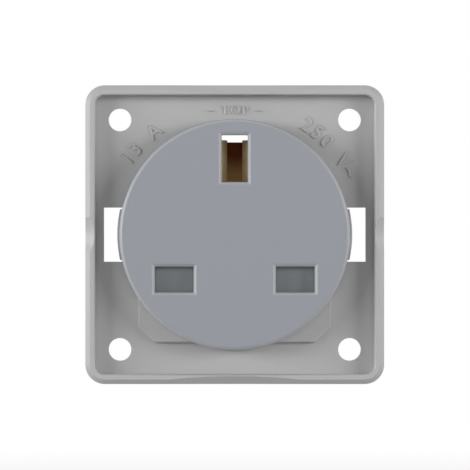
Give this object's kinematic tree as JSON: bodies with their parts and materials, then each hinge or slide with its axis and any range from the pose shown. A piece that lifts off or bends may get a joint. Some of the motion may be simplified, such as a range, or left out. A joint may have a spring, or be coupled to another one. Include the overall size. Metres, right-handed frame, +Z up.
{
  "type": "three-pin socket insert",
  "caption": "Flush three-pin mains socket insert with a square support plate, round shuttered face and rear lift terminals.",
  "frame": {"origin": "centre of the four corner screw holes, on the plate's back face that bears on the panel", "axes": "-Y is the way the socket's face looks, +Y runs into the panel, +Z is up with the earth aperture on top, +X is the viewer's right"},
  "size_m": [0.055, 0.0307, 0.055],
  "materials": {
    "grey_moulding": "moulded grey, satin",
    "shutter_moulding": "moulded grey",
    "contact_brass": "stamped",
    "plated_steel": "zinc plated",
    "spring_steel": "bright drawn wire"
  },
  "bodies": {
    "insert": {"support_plate": "grey_moulding", "socket_front": "grey_moulding", "rear_housing": "grey_moulding", "shutter_retainer": "shutter_moulding", "shutter_spring": "spring_steel", "line_contact": "contact_brass", "neutral_contact": "contact_brass", "earth_contact": "contact_brass", "earth_strap": "contact_brass", "earth_rivet": "contact_brass", "housing_screw_1": "plated_steel", "housing_screw_2": "plated_steel", "housing_screw_3": "plated_steel", "housing_screw_4": "plated_steel"},
    "shutter": {"shutter": "shutter_moulding"},
    "line_screw": {"line_terminal_screw": "plated_steel"},
    "line_cage": {"line_terminal_cage": "plated_steel"},
    "neutral_screw": {"neutral_terminal_screw": "plated_steel"},
    "neutral_cage": {"neutral_terminal_cage": "plated_steel"},
    "earth_screw": {"earth_terminal_screw": "plated_steel"},
    "earth_cage": {"earth_terminal_cage": "plated_steel"}
  },
  "joints": [
    {"name": "shutter_slide", "type": "slide", "parent": "insert", "child": "shutter", "axis": [0, 0.4472, 0.8944], "range_m": [0, 0.00598], "stiffness_N_per_m": 200, "springref_m": -0.004, "deforming": ["shutter_spring"]},
    {"name": "line_screw_turn", "type": "hinge", "parent": "insert", "child": "line_screw", "pos_m": [0.01111, 0.0184, -0.0154], "axis": [0, -1, 0], "range_deg": [0, 1550]},
    {"name": "line_cage_lift", "type": "slide", "parent": "insert", "child": "line_cage", "axis": [0, 1, 0], "range_m": [0, 0.003]},
    {"name": "neutral_screw_turn", "type": "hinge", "parent": "insert", "child": "neutral_screw", "pos_m": [-0.01111, 0.0184, -0.0154], "axis": [0, -1, 0], "range_deg": [0, 1550]},
    {"name": "neutral_cage_lift", "type": "slide", "parent": "insert", "child": "neutral_cage", "axis": [0, 1, 0], "range_m": [0, 0.003]},
    {"name": "earth_screw_turn", "type": "hinge", "parent": "insert", "child": "earth_screw", "pos_m": [0, 0.0184, -0.0154], "axis": [0, -1, 0], "range_deg": [0, 1550]},
    {"name": "earth_cage_lift", "type": "slide", "parent": "insert", "child": "earth_cage", "axis": [0, 1, 0], "range_m": [0, 0.003]}
  ],
  "couplings": [
    {"joint": "line_screw_turn", "follows": "line_cage_lift", "rad_per_m": 8976},
    {"joint": "neutral_screw_turn", "follows": "neutral_cage_lift", "rad_per_m": 8976},
    {"joint": "earth_screw_turn", "follows": "earth_cage_lift", "rad_per_m": 8976}
  ]
}
